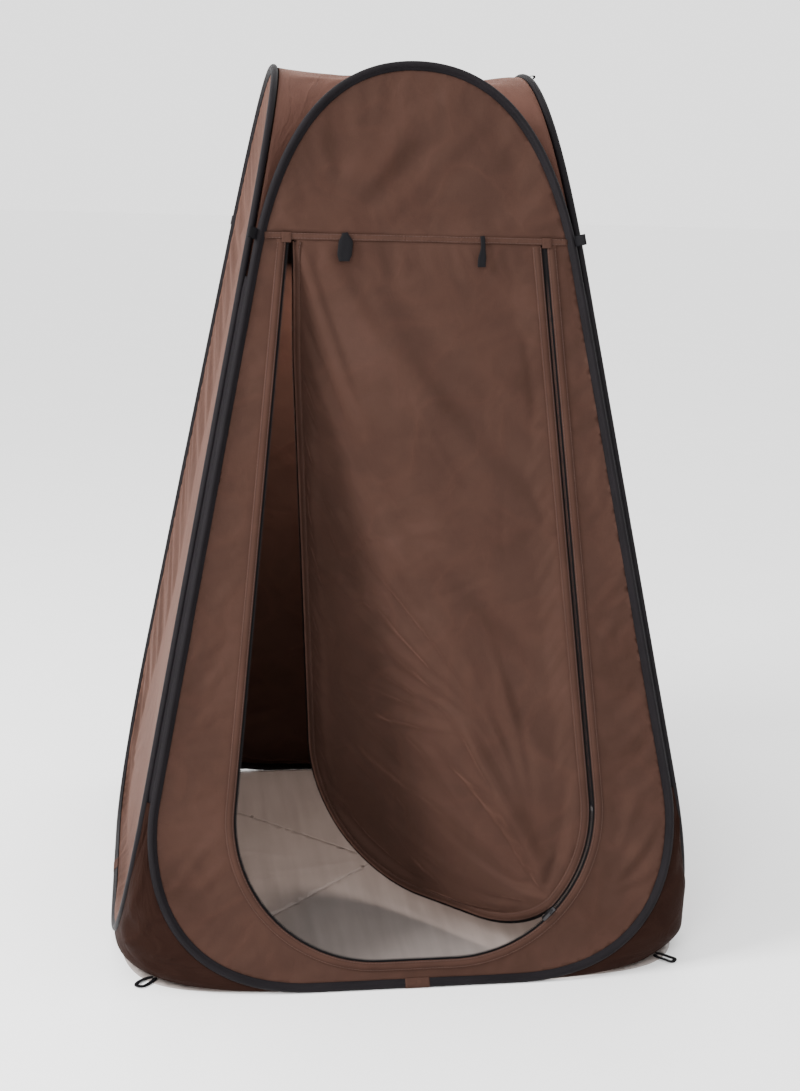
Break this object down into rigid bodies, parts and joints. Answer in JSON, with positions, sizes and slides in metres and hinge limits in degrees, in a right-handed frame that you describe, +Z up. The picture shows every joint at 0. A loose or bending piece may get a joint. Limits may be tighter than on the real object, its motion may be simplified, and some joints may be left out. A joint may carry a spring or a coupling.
{
  "type": "privacy shower tent",
  "caption": "Tall square pop-up privacy shower tent: hoop-framed leaning fabric walls, zipped front door pushed in, sewn floor.",
  "frame": {"origin": "middle of the tent's footprint, on the ground", "axes": "+Z up, the door faces -Y, +X to the right of someone facing the door"},
  "size_m": [1.2928, 1.2928, 1.9],
  "materials": {
    "brown_cloth": "plain-weave polyester taffeta, faint sheen",
    "door_cloth": "plain-weave polyester taffeta, creased",
    "dark_cloth": "doubled taffeta tape",
    "gusset_cloth": "uncoated taffeta",
    "black_binding": "woven polyester sleeve",
    "black_webbing": "ribbed webbing",
    "floor_sheet": "silver-grey coated sheet",
    "spring_steel": "bare spring steel",
    "zip_black": "coil zip on woven tape",
    "zip_metal": "black lacquered zinc"
  },
  "bodies": {
    "front": {"front_hoop": "spring_steel", "front_ferrule": "spring_steel", "front_sleeve": "black_binding", "front_sleeve_patch": "brown_cloth", "front_roof_gore": "brown_cloth", "front_floor_gore": "floor_sheet", "front_arch_panel": "brown_cloth", "transom_tape": "dark_cloth", "front_skirt_panel": "brown_cloth", "door_upper": "door_cloth", "zip_frame_tape": "zip_black", "zip_door_tape_fixed": "zip_black", "zip_end_patch_left": "dark_cloth", "zip_end_patch_right": "dark_cloth", "guy_tab_front_left": "black_webbing", "guy_tab_front_right": "black_webbing", "gusset_front_left": "gusset_cloth", "gusset_front_right": "gusset_cloth", "corner_seam_front_left": "black_binding", "corner_seam_front_right": "black_binding", "peg_loop_front_left": "black_webbing", "peg_loop_front_right": "black_webbing"},
    "left": {"left_hoop": "spring_steel", "left_ferrule": "spring_steel", "left_sleeve": "black_binding", "left_sleeve_patch": "brown_cloth", "left_roof_gore": "brown_cloth", "left_floor_gore": "floor_sheet", "left_panel": "brown_cloth"},
    "back": {"back_hoop": "spring_steel", "back_ferrule": "spring_steel", "back_sleeve": "black_binding", "back_sleeve_patch": "brown_cloth", "back_roof_gore": "brown_cloth", "back_floor_gore": "floor_sheet", "back_panel": "brown_cloth", "guy_tab_back_left": "black_webbing", "guy_tab_back_right": "black_webbing", "gusset_back_left": "gusset_cloth", "gusset_back_right": "gusset_cloth", "corner_seam_back_left": "black_binding", "corner_seam_back_right": "black_binding", "peg_loop_back_left": "black_webbing", "peg_loop_back_right": "black_webbing"},
    "right": {"right_hoop": "spring_steel", "right_ferrule": "spring_steel", "right_sleeve": "black_binding", "right_sleeve_patch": "brown_cloth", "right_roof_gore": "brown_cloth", "right_floor_gore": "floor_sheet", "right_panel": "brown_cloth", "hang_loop": "black_webbing"},
    "door_flap": {"door_flap": "door_cloth", "zip_door_tape_free": "zip_black"},
    "zip_slider": {"zip_slider": "zip_metal"},
    "zip_pull_outer": {"zip_pull_outer": "zip_metal"},
    "zip_pull_inner": {"zip_pull_inner": "zip_metal"},
    "roll_tie_left": {"roll_tie_left": "black_webbing"},
    "roll_tie_right": {"roll_tie_right": "black_webbing"}
  },
  "joints": [
    {"name": "frame_fold", "type": "hinge", "parent": "front", "child": "right", "pos_m": [0.46, -0.46, 0.9], "axis": [-0.1839, 0.1839, 0.9656], "range_deg": [0, 58], "stiffness_Nm_per_rad": 4, "deforming": ["front_roof_gore", "left_roof_gore", "back_roof_gore", "right_roof_gore", "front_floor_gore", "left_floor_gore", "back_floor_gore", "right_floor_gore", "gusset_front_left", "gusset_front_right", "gusset_back_left", "gusset_back_right"]},
    {"name": "left_fold", "type": "hinge", "parent": "front", "child": "left", "pos_m": [-0.46, -0.46, 0.9], "axis": [0.1839, 0.1839, 0.9656], "range_deg": [0, 58.5]},
    {"name": "back_fold", "type": "hinge", "parent": "left", "child": "back", "pos_m": [-0.46, 0.46, 0.9], "axis": [0.1839, -0.1839, 0.9656], "range_deg": [-58.5, 0]},
    {"name": "door_swing", "type": "hinge", "parent": "front", "child": "door_flap", "pos_m": [0.29013, -0.61158, 0.14919], "axis": [-0.3586, 0.1747, 0.917], "range_deg": [-6, 52]},
    {"name": "zip_travel", "type": "hinge", "parent": "front", "child": "zip_slider", "pos_m": [0.078, -0.57188, 0.35757], "axis": [0, -0.9823, 0.1871], "range_deg": [-40, 45]},
    {"name": "outer_pull_swing", "type": "hinge", "parent": "zip_slider", "child": "zip_pull_outer", "pos_m": [0.29013, -0.61698, 0.15021], "axis": [-0.7071, 0.1323, 0.6946], "range_deg": [0, 150]},
    {"name": "inner_pull_swing", "type": "hinge", "parent": "zip_slider", "child": "zip_pull_inner", "pos_m": [0.29013, -0.60618, 0.14816], "axis": [0.7071, -0.1323, -0.6946], "range_deg": [0, 150]},
    {"name": "left_tie_swing", "type": "hinge", "parent": "front", "child": "roll_tie_left", "pos_m": [-0.153, -0.35, 1.55011], "axis": [-1, 0, 0], "range_deg": [0, 150]},
    {"name": "right_tie_swing", "type": "hinge", "parent": "front", "child": "roll_tie_right", "pos_m": [0.135, -0.35, 1.55011], "axis": [-1, 0, 0], "range_deg": [0, 150]}
  ],
  "couplings": [
    {"joint": "left_fold", "follows": "frame_fold", "ratio": 1},
    {"joint": "back_fold", "follows": "frame_fold", "ratio": -1}
  ]
}
